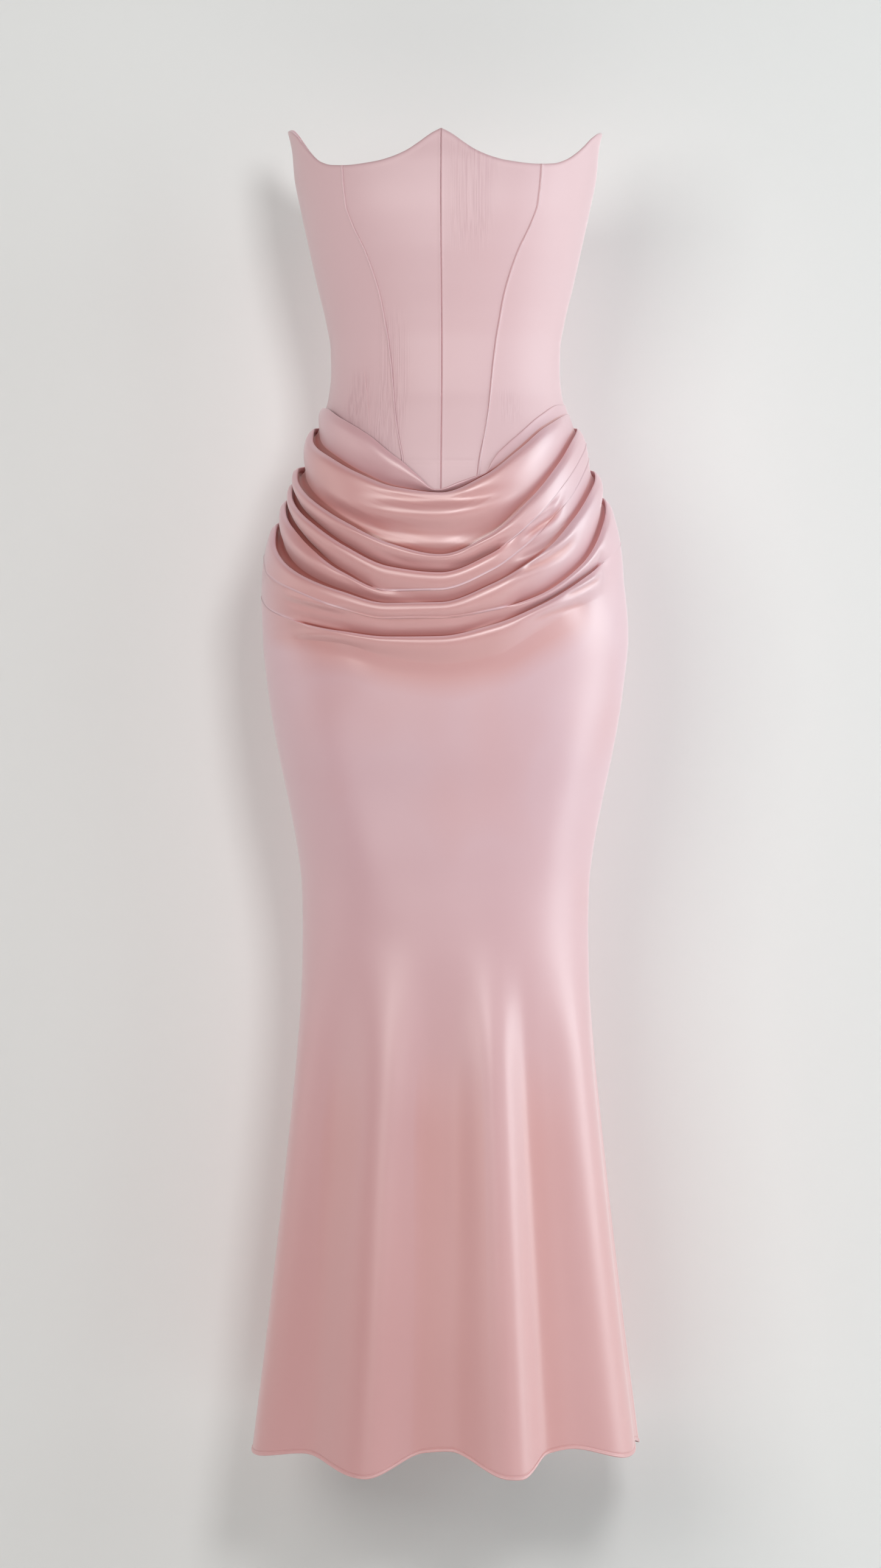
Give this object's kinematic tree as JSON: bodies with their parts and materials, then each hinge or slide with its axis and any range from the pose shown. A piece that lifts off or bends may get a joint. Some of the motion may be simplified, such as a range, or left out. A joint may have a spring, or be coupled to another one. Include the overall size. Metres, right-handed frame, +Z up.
{
  "type": "strapless dress",
  "caption": "Long strapless mermaid gown with a seamed corset bodice, draped cowl folds over the hips and a fluted hem, filled out as worn.",
  "frame": {"origin": "middle of the waist, where the wearer holds the dress up", "axes": "+Z up the body, the front faces -Y, +X towards the right of the picture"},
  "size_m": [0.381, 0.2936, 1.3105],
  "materials": {
    "satin": "satin",
    "metal": "polished",
    "zip_tape": "matte"
  },
  "bodies": {
    "dress": {"bodice_centre_front_left": "satin", "bodice_centre_front_right": "satin", "bodice_side_front_left": "satin", "bodice_side_front_right": "satin", "bodice_side_back_left": "satin", "bodice_side_back_right": "satin", "bodice_centre_back_left": "satin", "bodice_centre_back_right": "satin", "skirt_front": "satin", "skirt_back_left": "satin", "skirt_back_right": "satin", "zip_tape": "zip_tape", "zip_slider": "metal"},
    "zip_tab": {"zip_pull": "metal"}
  },
  "joints": [
    {"name": "zip_tab_hinge", "type": "hinge", "parent": "dress", "child": "zip_tab", "pos_m": [0, 0.09396, 0.172], "axis": [1, 0, 0], "range_deg": [0, 165]}
  ]
}
